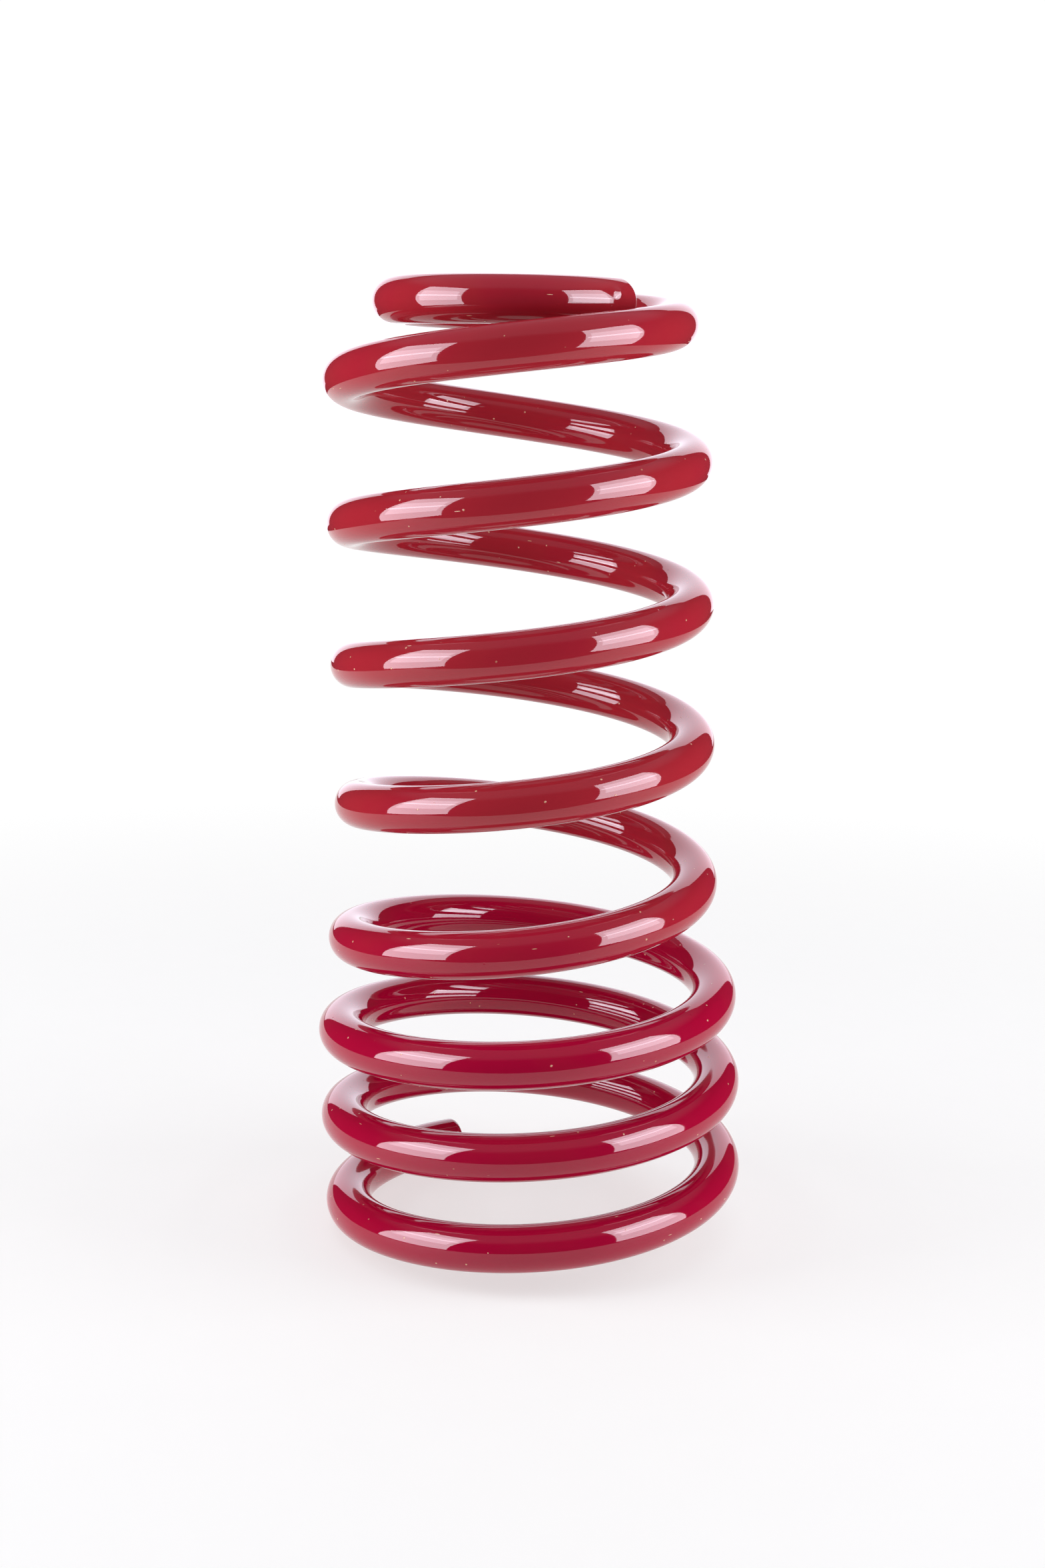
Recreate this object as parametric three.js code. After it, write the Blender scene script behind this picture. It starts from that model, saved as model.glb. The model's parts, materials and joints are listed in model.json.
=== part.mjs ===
// Progressive-rate automotive coil spring, free height, standing on its lower end coil.
// Millimetres, +Z up along the spring, origin under the middle of the spring on the seat plane.
//
// The real spring is one round bar, coiled hot and powder coated. It is modelled here as stretches of that
// bar, which meet face to face, so that the coils can close on each other. Every stretch ends on an upright
// plane through the spring's axis, so sliding up and down never closes the joint between two stretches.

import * as THREE from 'three';

// The bar
const WIRE_DIAMETER = 13;
const EDGE_ROUND = 2;              // rounding of the two cut ends' edges
const FACE_GAP = 0.3;              // between the faces of neighbouring stretches

// The coiling. Turns are counted along the bar from the lower cut end.
const TURNS = 8.586;
const START_ANGLE = 117;           // degrees, of the lower cut end, anticlockwise from +X seen from above
const CLOSE_PITCH = 25.4;          // rise per turn of the lower coils
const OPEN_PITCH = 39.5;           // rise per turn of the upper coils
const FLAT_TURNS = 0.043;          // the bar starts level for this long, so that it beds on its seat
const FLAT_EASE = 0.26;            // turns over which the pitch then grows to the lower coils' pitch
const OPENING_TURN = 2.746;        // where the pitch starts to grow again
const OPENING_EASE = 0.77;
const CLOSING_TURN = 7.306;        // where the pitch starts to fall to nothing for the upper end coil
const CLOSING_EASE = 0.87;

// Coil radii, to the middle of the bar
const LOWER_RADIUS = 54.4;
const UPPER_RADIUS = 47.9;
const NARROWING_TURN = 2.326;      // where the lower radius starts to change to the upper one
const NARROWING_EASE = 1.6;
const START_TUCK = 2.2;            // the lower cut end sits this far inside the coil
const START_TUCK_TURNS = 0.3;
const TAPER_TURN = 7.336;          // the upper end coil winds inwards from here
const TAPER_STOP = 8.046;          // and stays at one radius from here to its cut end
const TAPER_EASE = 0.3;
const TAPER_PER_TURN = 21.3;

// A spring with unground ends never stands quite straight: its axis leans by these slopes.
const LEAN_X = -0.0356;
const LEAN_Y = 0.04;
const AXIS_X = 1.25;               // the axis at the seat plane, which puts the origin mid-way across
const AXIS_Y = -1.7;

// Mesh fineness
const SIDES = 16;                  // flats round the bar
const STEP_ANGLE = 15;             // degrees of coil per straight step
const ROUND_STEPS = 3;             // flats in the rounding of a cut end

const DEGREE = Math.PI / 180;
const WIRE_RADIUS = WIRE_DIAMETER / 2;

// 0 before start, 1 after start + width, smooth between
function ease(turn, start, width) {
  return THREE.MathUtils.smoothstep(turn, start, start + width);
}

// The area under ease() up to this turn: level, then curving into a straight rise of 1 per turn
function easedRise(turn, start, width) {
  const t = Math.max(0, (turn - start) / width);
  return width * (t < 1 ? t ** 3 - t ** 4 / 2 : t - 0.5);
}

// The middle of the bar, by its turn from the lower cut end
function coilHeight(turn) {
  return WIRE_RADIUS
    + CLOSE_PITCH * easedRise(turn, FLAT_TURNS, FLAT_EASE)
    + (OPEN_PITCH - CLOSE_PITCH) * easedRise(turn, OPENING_TURN, OPENING_EASE)
    - OPEN_PITCH * easedRise(turn, CLOSING_TURN, CLOSING_EASE);
}

function coilRadius(turn) {
  const inward = easedRise(turn, TAPER_TURN, TAPER_EASE) - easedRise(turn, TAPER_STOP, TAPER_EASE);
  return LOWER_RADIUS
    + (UPPER_RADIUS - LOWER_RADIUS) * ease(turn, NARROWING_TURN, NARROWING_EASE)
    - START_TUCK * (1 - ease(turn, 0, START_TUCK_TURNS))
    - TAPER_PER_TURN * inward;
}

function coilPoint(turn) {
  const angle = (START_ANGLE + 360 * turn) * DEGREE;
  const radius = coilRadius(turn);
  const height = coilHeight(turn);
  return new THREE.Vector3(
    AXIS_X + LEAN_X * height + radius * Math.cos(angle),
    AXIS_Y + LEAN_Y * height + radius * Math.sin(angle),
    height,
  );
}

// The bar's direction of travel, without the lean, so that both faces of a joint get the same section
function coilDirection(turn) {
  const step = 1e-4;
  const angle = (START_ANGLE + 360 * turn) * DEGREE;
  const outward = new THREE.Vector3(Math.cos(angle), Math.sin(angle), 0);
  const forward = new THREE.Vector3(-Math.sin(angle), Math.cos(angle), 0);
  const radialSlope = (coilRadius(turn + step) - coilRadius(turn - step)) / (2 * step);
  const rise = (coilHeight(turn + step) - coilHeight(turn - step)) / (2 * step);
  return new THREE.Vector3()
    .addScaledVector(forward, 2 * Math.PI * coilRadius(turn))
    .addScaledVector(outward, radialSlope)
    .addScaledVector(new THREE.Vector3(0, 0, 1), rise)
    .normalize();
}

// Where a point of the round section lands on the upright plane through the axis, when it is slid along the
// bar on to that plane. up and out are its coordinates in the section, in millimetres.
function sectionPoint(turn, up, out) {
  const angle = (START_ANGLE + 360 * turn) * DEGREE;
  const outward = new THREE.Vector3(Math.cos(angle), Math.sin(angle), 0);
  const forward = new THREE.Vector3(-Math.sin(angle), Math.cos(angle), 0);
  const along = coilDirection(turn);
  const sectionOut = new THREE.Vector3().crossVectors(along, new THREE.Vector3(0, 0, 1)).normalize();
  const sectionUp = new THREE.Vector3().crossVectors(sectionOut, along).normalize();
  const offset = new THREE.Vector3()
    .addScaledVector(sectionUp, up)
    .addScaledVector(sectionOut.dot(outward) > 0 ? sectionOut : sectionOut.negate(), out);
  offset.addScaledVector(along, -offset.dot(forward) / along.dot(forward));
  return coilPoint(turn).add(offset);
}

// The rounded edge of a cut end: points from the flat face to the full bar. share is the rounding's length
// along the bar, as a share of the stretch.
function roundedEdge(share) {
  const points = [];
  for (let i = 0; i <= ROUND_STEPS; i++) {
    const a = (i / ROUND_STEPS) * Math.PI / 2;
    points.push(new THREE.Vector2(WIRE_RADIUS - EDGE_ROUND * (1 - Math.sin(a)), share * (1 - Math.cos(a))));
  }
  return points;
}

// A straight round bar of length 1 along Y, turned on a lathe, with its ends rounded where they are cut ends
function straightBar(steps, cutStart, cutEnd, share) {
  const profile = [new THREE.Vector2(0, 0)];
  profile.push(...(cutStart ? roundedEdge(share) : [new THREE.Vector2(WIRE_RADIUS, 0)]));
  for (let i = 1; i < steps; i++) profile.push(new THREE.Vector2(WIRE_RADIUS, i / steps));
  if (cutEnd) {
    profile.push(...roundedEdge(share).reverse().map((p) => new THREE.Vector2(p.x, 1 - p.y)));
  } else {
    profile.push(new THREE.Vector2(WIRE_RADIUS, 1));
  }
  profile.push(new THREE.Vector2(0, 1));
  return new THREE.LatheGeometry(profile, SIDES);
}

// One stretch of the bar between two angles, coiled to shape
function stretch(name, startAngle, endAngle, { cutStart = false, cutEnd = false } = {}) {
  const halfGap = (angle) => FACE_GAP / 2 / coilRadius((angle - START_ANGLE) / 360) / DEGREE;
  const from = cutStart ? startAngle : startAngle + halfGap(startAngle);
  const to = cutEnd ? endAngle : endAngle - halfGap(endAngle);
  const steps = Math.max(2, Math.round((to - from) / STEP_ANGLE));
  const endRadius = coilRadius(((cutEnd ? to : from) - START_ANGLE) / 360);
  const roundShare = EDGE_ROUND / (endRadius * (to - from) * DEGREE);
  const geometry = straightBar(steps, cutStart, cutEnd, roundShare);
  const bar = geometry.attributes.position;
  for (let i = 0; i < bar.count; i++) {
    const turn = (from + (to - from) * bar.getY(i) - START_ANGLE) / 360;
    const point = sectionPoint(turn, bar.getZ(i), bar.getX(i));
    bar.setXYZ(i, point.x, point.y, point.z);
  }
  geometry.computeVertexNormals();
  const coat = new THREE.MeshStandardMaterial({ color: 0xa3202c, roughness: 0.12, metalness: 0 });
  const mesh = new THREE.Mesh(geometry, coat);
  mesh.name = name;
  return mesh;
}

// The stretches, from the bottom. Quarter turns are centred on the spring's right, back, left and front.
const QUARTER = 90;
const LOWER_END_STOP = 405;        // where the lower end coil, which never moves, gives way to active coils
const CLOSE_QUARTERS = 10;         // quarter turns of close-wound coil
const OPEN_QUARTERS = 16;          // quarter turns of open coil
const SIDE_NAMES = ['right', 'back', 'left', 'front'];

const spring = new THREE.Group();
spring.name = 'coil_spring';

// Adds quarter turns in order, named by their coil number and side. A coil number covers four quarters.
function addQuarters(prefix, startAngle, count) {
  for (let i = 0; i < count; i++) {
    const angle = startAngle + i * QUARTER;
    const side = SIDE_NAMES[Math.round((angle + QUARTER / 2) / QUARTER) % 4];
    const number = Math.floor(i / 4) + 1;
    spring.add(stretch(`${prefix}_${number}_${side}`, angle, angle + QUARTER));
  }
  return startAngle + count * QUARTER;
}

spring.add(stretch('lower_end_coil', START_ANGLE, LOWER_END_STOP, { cutStart: true }));
const middleStart = addQuarters('close_coil', LOWER_END_STOP, CLOSE_QUARTERS);
spring.add(stretch('middle_coil_front', middleStart, middleStart + QUARTER));
const upperEndStart = addQuarters('open_coil', middleStart + QUARTER, OPEN_QUARTERS);
spring.add(stretch('upper_end_coil', upperEndStart, START_ANGLE + 360 * TURNS, { cutEnd: true }));

export default spring;
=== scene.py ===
"""Looks for the coil spring: one glossy red bar, coiled, on a white table between two softboxes.

Everything is in metres, in the frame of the CAD model. The fine bar follows the same coiling formula as the
CAD model, and replaces its coarse stretches.
"""

import json
import math

import bpy
import numpy as np
from mathutils import Matrix, Vector

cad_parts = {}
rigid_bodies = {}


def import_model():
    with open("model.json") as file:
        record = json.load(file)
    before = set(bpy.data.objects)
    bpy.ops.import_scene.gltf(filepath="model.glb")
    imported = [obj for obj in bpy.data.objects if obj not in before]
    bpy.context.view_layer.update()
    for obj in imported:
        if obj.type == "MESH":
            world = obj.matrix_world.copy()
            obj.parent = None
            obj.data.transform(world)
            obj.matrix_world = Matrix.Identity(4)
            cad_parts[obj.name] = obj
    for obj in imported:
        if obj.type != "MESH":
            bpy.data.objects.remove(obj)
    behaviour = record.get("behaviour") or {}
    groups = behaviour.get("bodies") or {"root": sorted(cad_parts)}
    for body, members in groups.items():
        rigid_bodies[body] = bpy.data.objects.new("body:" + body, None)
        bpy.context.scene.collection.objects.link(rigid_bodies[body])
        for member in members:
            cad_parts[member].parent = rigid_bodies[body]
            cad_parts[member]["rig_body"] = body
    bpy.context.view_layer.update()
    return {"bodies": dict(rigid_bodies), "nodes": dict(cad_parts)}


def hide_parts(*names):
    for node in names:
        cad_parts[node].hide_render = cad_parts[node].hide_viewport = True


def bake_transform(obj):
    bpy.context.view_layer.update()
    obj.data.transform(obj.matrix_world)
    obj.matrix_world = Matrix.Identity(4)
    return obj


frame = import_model()

# The bar and its coiling, in the CAD model's own dimensions, in millimetres
WIRE_RADIUS = 6.5
EDGE_ROUND = 2.0            # rounding of the two cut ends
TURNS = 8.586
START_ANGLE = 117.0         # degrees, of the lower cut end
CLOSE_PITCH, OPEN_PITCH = 25.4, 39.5
FLAT_TURNS, FLAT_EASE = 0.043, 0.26
OPENING_TURN, OPENING_EASE = 2.746, 0.77
CLOSING_TURN, CLOSING_EASE = 7.306, 0.87
LOWER_RADIUS, UPPER_RADIUS = 54.4, 47.9
NARROWING_TURN, NARROWING_EASE = 2.326, 1.6
START_TUCK, START_TUCK_TURNS = 2.2, 0.3
TAPER_TURN, TAPER_STOP, TAPER_EASE, TAPER_PER_TURN = 7.336, 8.046, 0.3, 21.3
LEAN_X, LEAN_Y = -0.0356, 0.04
AXIS_X, AXIS_Y = 1.25, -1.7
MM = 0.001

# A blister in the coat beside the upper cut end
BLISTER_FROM_END = 7.0      # along the bar
BLISTER_AROUND = 20.0       # degrees above the bar's outer side
BLISTER_RADIUS, BLISTER_HEIGHT = 1.35, 0.50

# Where the stretches of the CAD model begin and end, in degrees of coil
LOWER_END_STOP = 405.0
QUARTER = 90.0
CLOSE_QUARTERS, OPEN_QUARTERS = 10, 16

# Mesh fineness
SIDES = 72
RING_STEP = 1.5             # degrees of coil between cross-sections
FINE_STEP = 0.4             # the same, by the blister
FINE_ANGLE = 22.0           # degrees of coil that are this fine
ROUND_STEPS = 8             # cross-sections in the rounding of a cut end


# ---------------------------------------------------------------- the coiled bar

def smooth(turn, start, width):
    """0 before start, 1 after start + width, smooth between."""
    t = np.clip((turn - start) / width, 0, 1)
    return t * t * (3 - 2 * t)


def smooth_rise(turn, start, width):
    """The area under smooth() up to this turn."""
    t = np.maximum(0, (turn - start) / width)
    return width * np.where(t < 1, t ** 3 - t ** 4 / 2, t - 0.5)


def coil_height(turn):
    return (WIRE_RADIUS
            + CLOSE_PITCH * smooth_rise(turn, FLAT_TURNS, FLAT_EASE)
            + (OPEN_PITCH - CLOSE_PITCH) * smooth_rise(turn, OPENING_TURN, OPENING_EASE)
            - OPEN_PITCH * smooth_rise(turn, CLOSING_TURN, CLOSING_EASE))


def coil_radius(turn):
    inward = smooth_rise(turn, TAPER_TURN, TAPER_EASE) - smooth_rise(turn, TAPER_STOP, TAPER_EASE)
    return (LOWER_RADIUS
            + (UPPER_RADIUS - LOWER_RADIUS) * smooth(turn, NARROWING_TURN, NARROWING_EASE)
            - START_TUCK * (1 - smooth(turn, 0, START_TUCK_TURNS))
            - TAPER_PER_TURN * inward)


def unit(v):
    return v / np.linalg.norm(v, axis=-1, keepdims=True)


def blister(turn, around):
    """Extra radius where the blister stands on the bar."""
    along = (TURNS - turn) * 2 * math.pi * float(coil_radius(TURNS)) - BLISTER_FROM_END
    across = (around - math.radians(BLISTER_AROUND) + math.pi) % (2 * math.pi) - math.pi
    distance = np.hypot(along, across * WIRE_RADIUS) / BLISTER_RADIUS
    return BLISTER_HEIGHT * np.exp(-distance ** 2)


def bar_surface(turn, around, radius):
    """Points of the bar's skin, in millimetres. Each cross-section lies on an upright plane through the
    spring's axis, so that it stays round when it sinks. turn, around and radius are arrays of one shape."""
    radius = radius + blister(turn, around)
    angle = np.radians(START_ANGLE + 360 * turn)
    zero = np.zeros_like(angle)
    outward = np.stack([np.cos(angle), np.sin(angle), zero], -1)
    forward = np.stack([-np.sin(angle), np.cos(angle), zero], -1)
    up = np.stack([zero, zero, zero + 1], -1)
    d = 1e-4
    radial_slope = (coil_radius(turn + d) - coil_radius(turn - d)) / (2 * d)
    rise = (coil_height(turn + d) - coil_height(turn - d)) / (2 * d)
    run = 2 * math.pi * coil_radius(turn)
    along = unit(run[..., None] * forward + radial_slope[..., None] * outward + rise[..., None] * up)
    section_out = unit(np.cross(along, up))
    section_up = np.cross(section_out, along)
    offset = (radius * np.cos(around))[..., None] * section_out
    offset += (radius * np.sin(around))[..., None] * section_up
    slide = np.sum(offset * forward, -1) / np.sum(along * forward, -1)
    height = coil_height(turn)
    centre = coil_radius(turn)[..., None] * outward
    centre += np.stack([AXIS_X + LEAN_X * height, AXIS_Y + LEAN_Y * height, height], -1)
    return centre + offset - slide[..., None] * along


def cut_end_profile(length):
    """(distance from the flat face in turns, radius) of the rounded edge of a cut end."""
    a = np.linspace(0, math.pi / 2, ROUND_STEPS + 1)
    return length * (1 - np.cos(a)), WIRE_RADIUS - EDGE_ROUND * (1 - np.sin(a))


def wire_sections(first_turn, last_turn, cut_start, cut_end):
    """The turn and radius of each cross-section. They are closer together in the rounded edge of a cut end,
    and beside the blister."""
    turns = np.linspace(first_turn, last_turn, round((last_turn - first_turn) * 360 / RING_STEP) + 1)
    radii = np.full(len(turns), WIRE_RADIUS)
    if cut_start:
        length = EDGE_ROUND / (2 * math.pi * float(coil_radius(first_turn)))
        depth, radius = cut_end_profile(length)
        keep = turns > first_turn + 1.5 * length
        turns = np.concatenate([first_turn + depth, turns[keep]])
        radii = np.concatenate([radius, radii[keep]])
    if cut_end:
        length = EDGE_ROUND / (2 * math.pi * float(coil_radius(last_turn)))
        depth, radius = cut_end_profile(length)
        fine = np.arange(last_turn - FINE_ANGLE / 360, last_turn - 1.3 * length, FINE_STEP / 360)
        keep = turns < fine[0] - 0.5 * RING_STEP / 360
        turns = np.concatenate([turns[keep], fine, last_turn - depth[::-1]])
        radii = np.concatenate([radii[keep], np.full(len(fine), WIRE_RADIUS), radius[::-1]])
    return turns, radii


def length_along(turns):
    """Distance along the bar from its lower cut end to each turn, in millimetres."""
    fine = np.linspace(0, TURNS, 4000)
    speed = np.hypot(2 * math.pi * coil_radius(fine), np.gradient(coil_height(fine), fine))
    steps = (speed[1:] + speed[:-1]) / 2 * np.diff(fine)
    return np.interp(turns, fine, np.concatenate([[0], np.cumsum(steps)]))


def make_wire(name, first_turn, last_turn, cut_start, cut_end):
    """A closed stretch of the bar, with exact smooth normals, so that it meets its neighbour without a
    mark. Returns it with each vertex's turn."""
    turns, radii = wire_sections(first_turn, last_turn, cut_start, cut_end)
    around = np.linspace(0, 2 * math.pi, SIDES, endpoint=False)
    grid_turn, grid_around = np.meshgrid(turns, around, indexing="ij")
    grid_radius = np.repeat(radii[:, None], SIDES, 1)
    points = bar_surface(grid_turn, grid_around, grid_radius)

    # Normals: the skin's own, tipped forwards or back where the radius changes at a cut end
    small = 1e-5
    by_turn = bar_surface(grid_turn + small, grid_around, grid_radius) \
        - bar_surface(grid_turn - small, grid_around, grid_radius)
    by_angle = bar_surface(grid_turn, grid_around + small, grid_radius) \
        - bar_surface(grid_turn, grid_around - small, grid_radius)
    normals = unit(np.cross(by_turn, by_angle))
    tangent = unit(by_turn)
    tip = np.arcsin(np.clip((grid_radius - WIRE_RADIUS + EDGE_ROUND) / EDGE_ROUND, 0, 1))[..., None]
    at_end = np.where(grid_turn[..., None] < (first_turn + last_turn) / 2, -1.0, 1.0)
    normals = normals * np.sin(tip) + at_end * tangent * np.cos(tip)

    # The same points on the bar before it was coiled, along X, for the coat's pattern
    straight = np.stack([np.repeat(length_along(turns)[:, None], SIDES, 1),
                         grid_radius * np.cos(grid_around), grid_radius * np.sin(grid_around)], -1)

    rings = len(turns)
    ring_starts = np.arange(rings - 1)[:, None] * SIDES
    side = np.arange(SIDES)[None, :]
    next_side = (side + 1) % SIDES
    quads = np.stack([ring_starts + side, ring_starts + SIDES + side,
                      ring_starts + SIDES + next_side, ring_starts + next_side], -1).reshape(-1, 4)
    faces = quads.tolist()
    corner_normals = normals.reshape(-1, 3)[quads.reshape(-1)].tolist()

    # The flat faces, each a fan round a middle point
    vertices = points.reshape(-1, 3)
    for ring, facing in ((0, -1.0), (rings - 1, 1.0)):
        middle = len(vertices)
        vertices = np.vstack([vertices, points[ring].mean(0)])
        face_normal = (facing * unit(tangent[ring].mean(0))).tolist()
        for j in range(SIDES):
            rim = (ring * SIDES + j, ring * SIDES + (j + 1) % SIDES)
            faces.append((rim[0], rim[1], middle) if facing < 0 else (rim[1], rim[0], middle))
            corner_normals.extend([face_normal] * 3)
    straight = np.vstack([straight.reshape(-1, 3), straight[0].mean(0), straight[-1].mean(0)])
    vertex_turns = np.append(grid_turn.reshape(-1), turns[[0, -1]])

    mesh = bpy.data.meshes.new(name)
    mesh.from_pydata((vertices * MM).tolist(), [], faces)
    mesh.polygons.foreach_set("use_smooth", [True] * len(faces))
    mesh.normals_split_custom_set(corner_normals)
    place = mesh.attributes.new("straight_bar", "FLOAT_VECTOR", "POINT")
    place.data.foreach_set("vector", (straight * MM).astype(np.float32).ravel())
    wire = bpy.data.objects.new(name, mesh)
    bpy.context.scene.collection.objects.link(wire)
    return wire, vertex_turns


def blend_by_section(wire):
    """Moves the wire's placement into its mesh, leaving the object at the origin with no transform."""
    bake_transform(wire)


def turn_at(angle):
    return (angle - START_ANGLE) / 360


# The two wires meet half way along the middle stretch, which moves as one piece
MIDDLE = LOWER_END_STOP + (CLOSE_QUARTERS + 0.5) * QUARTER

lower_wire, lower_turns = make_wire("lower_wire", 0.0, turn_at(MIDDLE), True, False)
upper_wire, upper_turns = make_wire("upper_wire", turn_at(MIDDLE), TURNS, False, True)
blend_by_section(lower_wire)
blend_by_section(upper_wire)

LOWER_BODIES = ["lower_end", "middle"] + [b for b in frame["bodies"] if b.startswith("close_")]
for wire, is_lower in ((lower_wire, True), (upper_wire, False)):
    nodes = [n for n, o in frame["nodes"].items() if (o["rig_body"] in LOWER_BODIES) == is_lower]
    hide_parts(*nodes)


# ---------------------------------------------------------------- the red coat

class Nodes:
    """Short calls for building a material's node tree."""

    def __init__(self, material):
        material.use_nodes = True
        self.tree = material.node_tree
        self.tree.nodes.clear()

    def add(self, kind, inputs=None, **settings):
        node = self.tree.nodes.new("ShaderNode" + kind)
        for key, value in settings.items():
            setattr(node, key, value)
        for key, value in (inputs or {}).items():
            if isinstance(value, bpy.types.NodeSocket):
                self.tree.links.new(value, node.inputs[key])
            else:
                node.inputs[key].default_value = value
        return node

    def maths(self, operation, a, b=0.0, clamp=False):
        return self.add("Math", {0: a, 1: b}, operation=operation, use_clamp=clamp).outputs[0]

    def noise(self, place, scale, detail=2.0, roughness=0.5):
        return self.add("TexNoise", {"Vector": place, "Scale": scale, "Detail": detail,
                                     "Roughness": roughness}).outputs["Fac"]

    def step(self, value, low, high, out_low=0.0, out_high=1.0):
        return self.add("MapRange", {"Value": value, "From Min": low, "From Max": high,
                                     "To Min": out_low, "To Max": out_high},
                        interpolation_type="SMOOTHSTEP").outputs[0]

    def mix(self, factor, a, b):
        node = self.add("Mix", {0: factor}, data_type="RGBA")
        for socket, value in ((node.inputs[6], a), (node.inputs[7], b)):
            if isinstance(value, bpy.types.NodeSocket):
                self.tree.links.new(value, socket)
            else:
                socket.default_value = value
        return node.outputs[2]


RED_DEEP = (0.37, 0.0015, 0.031, 1)         # low on the spring
RED_WARM = (0.37, 0.018, 0.030, 1)          # higher up
WARM_START, WARM_FULL = 0.07, 0.12          # heights between which one red gives way to the other
DUST = (0.80, 0.52, 0.30, 1)
DUST_COVER = 0.75                           # how much of the red the dust hides
ROUGHNESS_LOW, ROUGHNESS_HIGH, DUST_ROUGHNESS = 0.03, 0.06, 0.3
COAT_IOR = 1.5

# Scales are in waves, or cells, per metre of bar. Heights are in metres.
RIPPLE, RIPPLE_HEIGHT = 330, 0.000005       # the ripple that makes ragged edges in reflections
SWELL, SWELL_HEIGHT = 60, 0.00005           # slow unevenness
RING_WAVE, RING_HEIGHT = 420, 0.000005      # marks across the bar, in patches
RING_STRETCH = 0.12                         # how slowly those marks change round the bar
SPECK_CELLS, SPECK_SHARE = 290, 0.50        # cells, and the share of them that may hold a speck
SPECK_SIZE, DUST_HEIGHT = 0.060, 0.00004    # radius as a share of its cell
FIBRE_CELLS, FIBRE_SHARE = 120, 0.07
FIBRE_SIZE, FIBRE_EDGE = 0.06, 0.10         # its half width, and where it has faded out
PIT_CELLS, PIT_SHARE = 170, 0.20
PIT_SIZE, PIT_DEPTH = 0.07, 0.00005


def picked_cells(n, place, cells, channel, share):
    """The distance from the middle of each cell, and 1 in the share of cells that are picked."""
    scatter = n.add("TexVoronoi", {"Vector": place, "Scale": cells, "Randomness": 1.0})
    draw = n.add("SeparateColor", {0: scatter.outputs["Color"]}).outputs[channel]
    return scatter.outputs["Distance"], n.maths("GREATER_THAN", draw, 1 - share)


def coat_dust(n, place):
    """1 on the specks and short fibres that fell in the wet coat."""
    distance, picked = picked_cells(n, place, SPECK_CELLS, 0, SPECK_SHARE)
    dot = n.step(distance, SPECK_SIZE, SPECK_SIZE * 1.5, 1.0, 0.0)
    patchy = n.step(n.noise(place, 45, 1), 0.38, 0.52)
    speck = n.maths("MULTIPLY", n.maths("MULTIPLY", dot, picked), patchy)

    turned = n.add("Mapping", {0: place, "Rotation": (0.5, 0.9, 0.6), "Scale": (1.0, 6.0, 6.0)}).outputs[0]
    distance, picked = picked_cells(n, turned, FIBRE_CELLS, 1, FIBRE_SHARE)
    thread = n.step(distance, FIBRE_SIZE, FIBRE_EDGE, 1.0, 0.0)
    return n.maths("MAXIMUM", speck, n.maths("MULTIPLY", thread, picked))


def coat_colour(n, place, dust):
    """Two reds by height on the spring, with a slow cloudiness, under the dust."""
    height = n.add("SeparateXYZ", {0: n.add("TexCoord").outputs["Object"]}).outputs["Z"]
    warm = n.step(height, WARM_START, WARM_FULL)
    cloud = n.step(n.noise(place, 38, 3), 0.3, 0.7, -0.2, 0.2)
    red = n.mix(n.maths("ADD", warm, cloud, clamp=True), RED_DEEP, RED_WARM)
    return n.mix(n.maths("MULTIPLY", dust, DUST_COVER), red, DUST)


def coat_relief(n, place, dust):
    """The height of the coat's surface, in metres."""
    rough_patch = n.step(n.noise(place, 30, 1), 0.38, 0.62, 0.25, 1.0)
    ripple = n.maths("MULTIPLY", n.noise(place, RIPPLE, 2), RIPPLE_HEIGHT)
    swell = n.maths("MULTIPLY", n.noise(place, SWELL, 1), SWELL_HEIGHT)
    relief = n.maths("ADD", n.maths("MULTIPLY", ripple, rough_patch), swell)

    across = n.add("Mapping", {0: place, "Scale": (1.0, RING_STRETCH, RING_STRETCH)}).outputs[0]
    rings = n.maths("MULTIPLY", n.noise(across, RING_WAVE, 1), RING_HEIGHT)
    ring_patch = n.step(n.noise(place, 22, 1), 0.55, 0.68)
    relief = n.maths("ADD", relief, n.maths("MULTIPLY", rings, ring_patch))
    relief = n.maths("ADD", relief, n.maths("MULTIPLY", dust, DUST_HEIGHT))

    distance, picked = picked_cells(n, place, PIT_CELLS, 2, PIT_SHARE)
    pit = n.maths("MULTIPLY", n.step(distance, 0.0, PIT_SIZE, 1.0, 0.0), picked)
    return n.maths("SUBTRACT", relief, n.maths("MULTIPLY", pit, PIT_DEPTH))


def red_coat():
    """Glossy red powder coat, laid out on the bar as it was before coiling."""
    material = bpy.data.materials.new("red_coat")
    n = Nodes(material)
    place = n.add("Attribute", attribute_name="straight_bar").outputs["Vector"]
    dust = coat_dust(n, place)
    colour = coat_colour(n, place, dust)
    roughness = n.step(n.noise(place, 160, 4, 0.6), 0.35, 0.75, ROUGHNESS_LOW, ROUGHNESS_HIGH)
    roughness = n.maths("ADD", roughness, n.maths("MULTIPLY", dust, DUST_ROUGHNESS))
    relief = coat_relief(n, place, dust)
    bump = n.add("Bump", {"Height": relief, "Distance": 1.0, "Strength": 1.0}).outputs[0]
    shader = n.add("BsdfPrincipled", {"Base Color": colour, "Roughness": roughness, "IOR": COAT_IOR,
                                      "Normal": bump})
    n.add("OutputMaterial", {"Surface": shader.outputs[0]})
    return material


coat = red_coat()
for wire in (lower_wire, upper_wire):
    wire.data.materials.append(coat)


# ---------------------------------------------------------------- table, surround and lights

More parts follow.
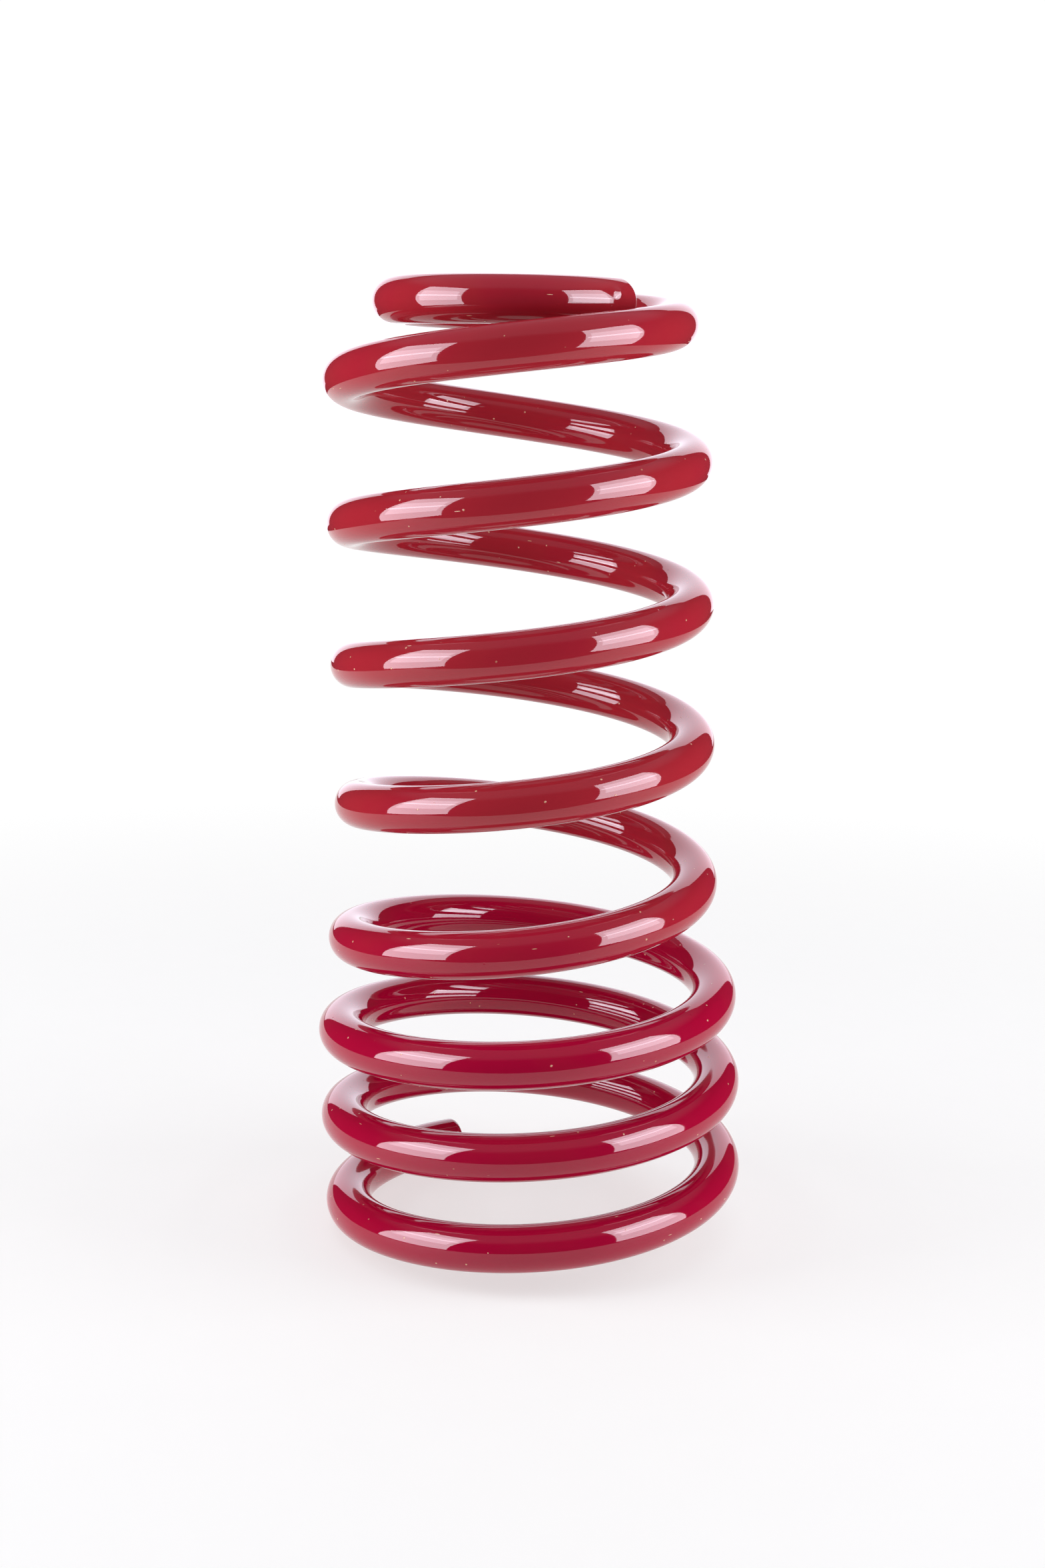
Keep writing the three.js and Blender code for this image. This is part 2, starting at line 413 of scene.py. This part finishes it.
TABLE_FRONT, TABLE_BACK = -0.25, 1.55       # the table's edges, as the coat reflects them
TABLE_HALF_WIDTH = 0.45
FLOOR_RADIUS = 2.4
WALL_HEIGHT = 3.0
FADE_START, FADE_FULL = 0.15, 0.75          # radii between which the floor's own light takes over
TABLE_OWN_LIGHT = 0.6                       # its share of the floor's light near the spring
GLOW, SIDE_GLOW = 1.02, 0.76                # behind the spring, and far off to its sides and front
SIDE_GLOW_START, SIDE_GLOW_FULL = 0.5, 1.5  # radii between which the one gives way to the other
BACK_EDGE, BACK_FULL = 0.60, 0.90           # cosines, from straight behind, over which the back turns white
PAPER_DARK, PAPER_LIGHT = (0.84, 0.84, 0.84, 1), (0.88, 0.88, 0.88, 1)


def stage_mesh(name, corners, faces, material):
    mesh = bpy.data.meshes.new(name)
    mesh.from_pydata(corners, [], faces)
    mesh.materials.append(material)
    sheet = bpy.data.objects.new(name, mesh)
    bpy.context.scene.collection.objects.link(sheet)
    return sheet


def add_glow(n, place):
    """The surround's own light: white near the spring and behind it, pale grey to the sides and in front.
    Returns the distance from the spring's foot, and the shader."""
    radius = n.add("VectorMath", {0: place}, operation="LENGTH").outputs["Value"]
    toward_back = n.maths("DIVIDE", n.add("SeparateXYZ", {0: place}).outputs["Y"], radius)
    near = n.step(radius, SIDE_GLOW_START, SIDE_GLOW_FULL, 1.0, 0.0)
    white = n.maths("MAXIMUM", near, n.step(toward_back, BACK_EDGE, BACK_FULL))
    strength = n.step(white, 0.0, 1.0, SIDE_GLOW, GLOW)
    return radius, n.add("Emission", {"Color": (1, 1, 1, 1), "Strength": strength})


def paper_material():
    """White paper, part lit by the lamps near the spring, and shining by its own light further away."""
    material = bpy.data.materials.new("white_paper")
    n = Nodes(material)
    place = n.add("TexCoord").outputs["Object"]
    colour = n.mix(n.noise(place, 60, 4, 0.6), PAPER_DARK, PAPER_LIGHT)
    paper = n.add("BsdfPrincipled", {"Base Color": colour, "Roughness": 0.6, "Specular IOR Level": 0.2})
    radius, glow = add_glow(n, place)
    own_light = n.step(radius, FADE_START, FADE_FULL, TABLE_OWN_LIGHT, 1.0)
    both = n.add("MixShader", {0: own_light, 1: paper.outputs[0], 2: glow.outputs[0]})
    n.add("OutputMaterial", {"Surface": both.outputs[0]})
    return material


def glow_material():
    """A surface that shows only the surround's own light."""
    material = bpy.data.materials.new("white_surround")
    n = Nodes(material)
    _, glow = add_glow(n, n.add("TexCoord").outputs["Object"])
    n.add("OutputMaterial", {"Surface": glow.outputs[0]})
    return material


def circle(radius, height, steps=64):
    angles = [2 * math.pi * i / steps for i in range(steps)]
    return [(radius * math.cos(a), radius * math.sin(a), height) for a in angles]


def make_table_and_floor():
    """The table is a rectangle let into a round floor. Only the table shows in the coat."""
    corners = [(TABLE_HALF_WIDTH, TABLE_BACK, 0), (-TABLE_HALF_WIDTH, TABLE_BACK, 0),
               (-TABLE_HALF_WIDTH, TABLE_FRONT, 0), (TABLE_HALF_WIDTH, TABLE_FRONT, 0)]
    paper = paper_material()
    stage_mesh("table", corners, [(0, 1, 2, 3)], paper)

    rim = circle(FLOOR_RADIUS, 0)
    eighth = len(rim) // 8
    faces = []
    for i in range(4):
        first, last = (2 * i + 1) * eighth, (2 * i + 3) * eighth
        arc = [4 + j % len(rim) for j in range(first, last + 1)]
        faces.append((i, *arc, (i + 1) % 4))
    floor = stage_mesh("floor", corners + rim, faces, paper)
    floor.visible_glossy = False


def make_surround():
    """A closed wall and roof, seen by the camera alone. They light nothing and don't show in the coat."""
    lower, upper = circle(FLOOR_RADIUS, 0), circle(FLOOR_RADIUS, WALL_HEIGHT)
    count = len(lower)
    faces = [(i, (i + 1) % count, count + (i + 1) % count, count + i) for i in range(count)]
    faces.append(tuple(range(count, 2 * count)))
    wall = stage_mesh("surround", lower + upper, faces, glow_material())
    wall.visible_glossy = False
    wall.visible_diffuse = False
    wall.visible_shadow = False


make_table_and_floor()
make_surround()


# Lamps. RADIANCE is the brightness of a lamp's face, where 1 is the picture's white.
GLOSS_COLOUR = (0.97, 0.95, 1.06)           # a little cool, as seen in the coat
MATT_COLOUR = (1, 1, 1)
SOFTBOX_BEARINGS = {"left": 64, "right": 62}
SOFTBOX_DISTANCE, SOFTBOX_MIDDLE = 0.50, 0.345
SOFTBOX_WIDTH, SOFTBOX_HEIGHT, SOFTBOX_RADIANCE = 0.38, 0.66, 8.5
CORE_SHARE, CORE_HEIGHT, CORE_RADIANCE = 0.8, 0.30, 3.5         # the brighter middle of each softbox
STREAK_SHARE, STREAK_HEIGHT, STREAK_RADIANCE = 0.9, 0.035, 6.0  # and the tube across it
FILL_BEARING, FILL_DISTANCE = 80, 0.667
FILL_WIDTH, FILL_HEIGHT, FILL_RADIANCE = 0.5, 0.66, 4.4
CEILING_FILL_HEIGHT, CEILING_FILL_RADIANCE = 1.15, 1.1
CEILING_FILL_WIDTH, CEILING_FILL_DEPTH = 1.5, 1.2
BACKDROP_DISTANCE, BACKDROP_WIDTH, BACKDROP_TALL, BACKDROP_RADIANCE = 1.6, 1.7, 1.5, 1.8


def area_light(name, position, target, width, height, radiance, seen_in):
    """A lamp given by the brightness of its face, so that its size can change and its reflection stay as
    bright. seen_in is "gloss" or "matt": the coat's reflections and its body colour are lit apart."""
    light = bpy.data.lights.new(name, "AREA")
    light.shape = "RECTANGLE"
    light.size, light.size_y = width, height
    light.energy = radiance * math.pi * width * height
    light.color = GLOSS_COLOUR if seen_in == "gloss" else MATT_COLOUR
    lamp = bpy.data.objects.new(name, light)
    bpy.context.scene.collection.objects.link(lamp)
    lamp.location = position
    lamp.rotation_euler = (Vector(target) - Vector(position)).to_track_quat("-Z", "Y").to_euler()
    lamp.visible_camera = False
    lamp.visible_glossy = seen_in == "gloss"
    lamp.visible_diffuse = seen_in == "matt"


def beside(side, bearing, distance):
    """A place at a bearing from straight in front of the spring, towards -Y, to its left or right."""
    a = math.radians(bearing)
    return (side * distance * math.sin(a), -distance * math.cos(a), SOFTBOX_MIDDLE)


def light_side(side, name):
    """A softbox with its brighter middle and tube, which only the gloss sees, and a fill for the red."""
    aim = (0, 0, SOFTBOX_MIDDLE)
    for part, nearer, width, height, radiance in (
            ("softbox", 0.0, SOFTBOX_WIDTH, SOFTBOX_HEIGHT, SOFTBOX_RADIANCE),
            ("core", 0.01, CORE_SHARE * SOFTBOX_WIDTH, CORE_HEIGHT, CORE_RADIANCE),
            ("streak", 0.02, STREAK_SHARE * SOFTBOX_WIDTH, STREAK_HEIGHT, STREAK_RADIANCE)):
        place = beside(side, SOFTBOX_BEARINGS[name], SOFTBOX_DISTANCE - nearer)
        area_light(f"{name}_{part}", place, aim, width, height, radiance, "gloss")
    area_light(f"{name}_fill", beside(side, FILL_BEARING, FILL_DISTANCE), aim,
               FILL_WIDTH, FILL_HEIGHT, FILL_RADIANCE, "matt")


light_side(-1, "left")
light_side(1, "right")
area_light("ceiling_fill", (0, 0, CEILING_FILL_HEIGHT), (0, 0, 0),
           CEILING_FILL_WIDTH, CEILING_FILL_DEPTH, CEILING_FILL_RADIANCE, "matt")

# The lit backdrop, as the coat reflects it
area_light("backdrop", (0, BACKDROP_DISTANCE, BACKDROP_TALL / 2), (0, 0, BACKDROP_TALL / 2),
           BACKDROP_WIDTH, BACKDROP_TALL, BACKDROP_RADIANCE, "gloss")


ROOM_DARK = (0.035, 0.035, 0.04, 1)
ROOM_CEILING = (0.35, 0.33, 0.38, 1)
ROOM_FRONT = (0.045, 0.04, 0.055, 1)


def dim_studio():
    """A dark room with a dim ceiling, and a faint glow from in front."""
    world = bpy.data.worlds.new("dim_studio")
    n = Nodes(world)
    direction = n.add("SeparateXYZ", {0: n.add("TexCoord").outputs["Generated"]})
    ceiling = n.mix(n.step(direction.outputs["Z"], 0.55, 0.8), ROOM_DARK, ROOM_CEILING)
    front = n.step(direction.outputs["Y"], -0.55, -0.85)
    colour = n.mix(front, ceiling, ROOM_FRONT)
    background = n.add("Background", {"Color": colour, "Strength": 1.0})
    n.add("OutputWorld", {"Surface": background.outputs[0]})
    return world


bpy.context.scene.world = dim_studio()


# ---------------------------------------------------------------- camera

CAMERA_PLACE = Vector((-0.0039, -0.6004, 0.2445))
CAMERA_TILT = 10.83         # degrees down
CAMERA_ROLL = 1.043         # degrees, anticlockwise
LENS_MM = 49.25

camera_data = bpy.data.cameras.new("camera")
camera_data.sensor_width = 36
camera_data.lens = LENS_MM
camera_data.clip_start = 0.01
camera = bpy.data.objects.new("camera", camera_data)
bpy.context.scene.collection.objects.link(camera)
camera.rotation_euler = (Matrix.Rotation(math.radians(90 - CAMERA_TILT), 3, "X")
                         @ Matrix.Rotation(math.radians(CAMERA_ROLL), 3, "Z")).to_euler()
camera.location = CAMERA_PLACE
bpy.context.scene.camera = camera

bpy.context.scene.view_settings.view_transform = "Standard"
bpy.context.scene.view_settings.look = "None"
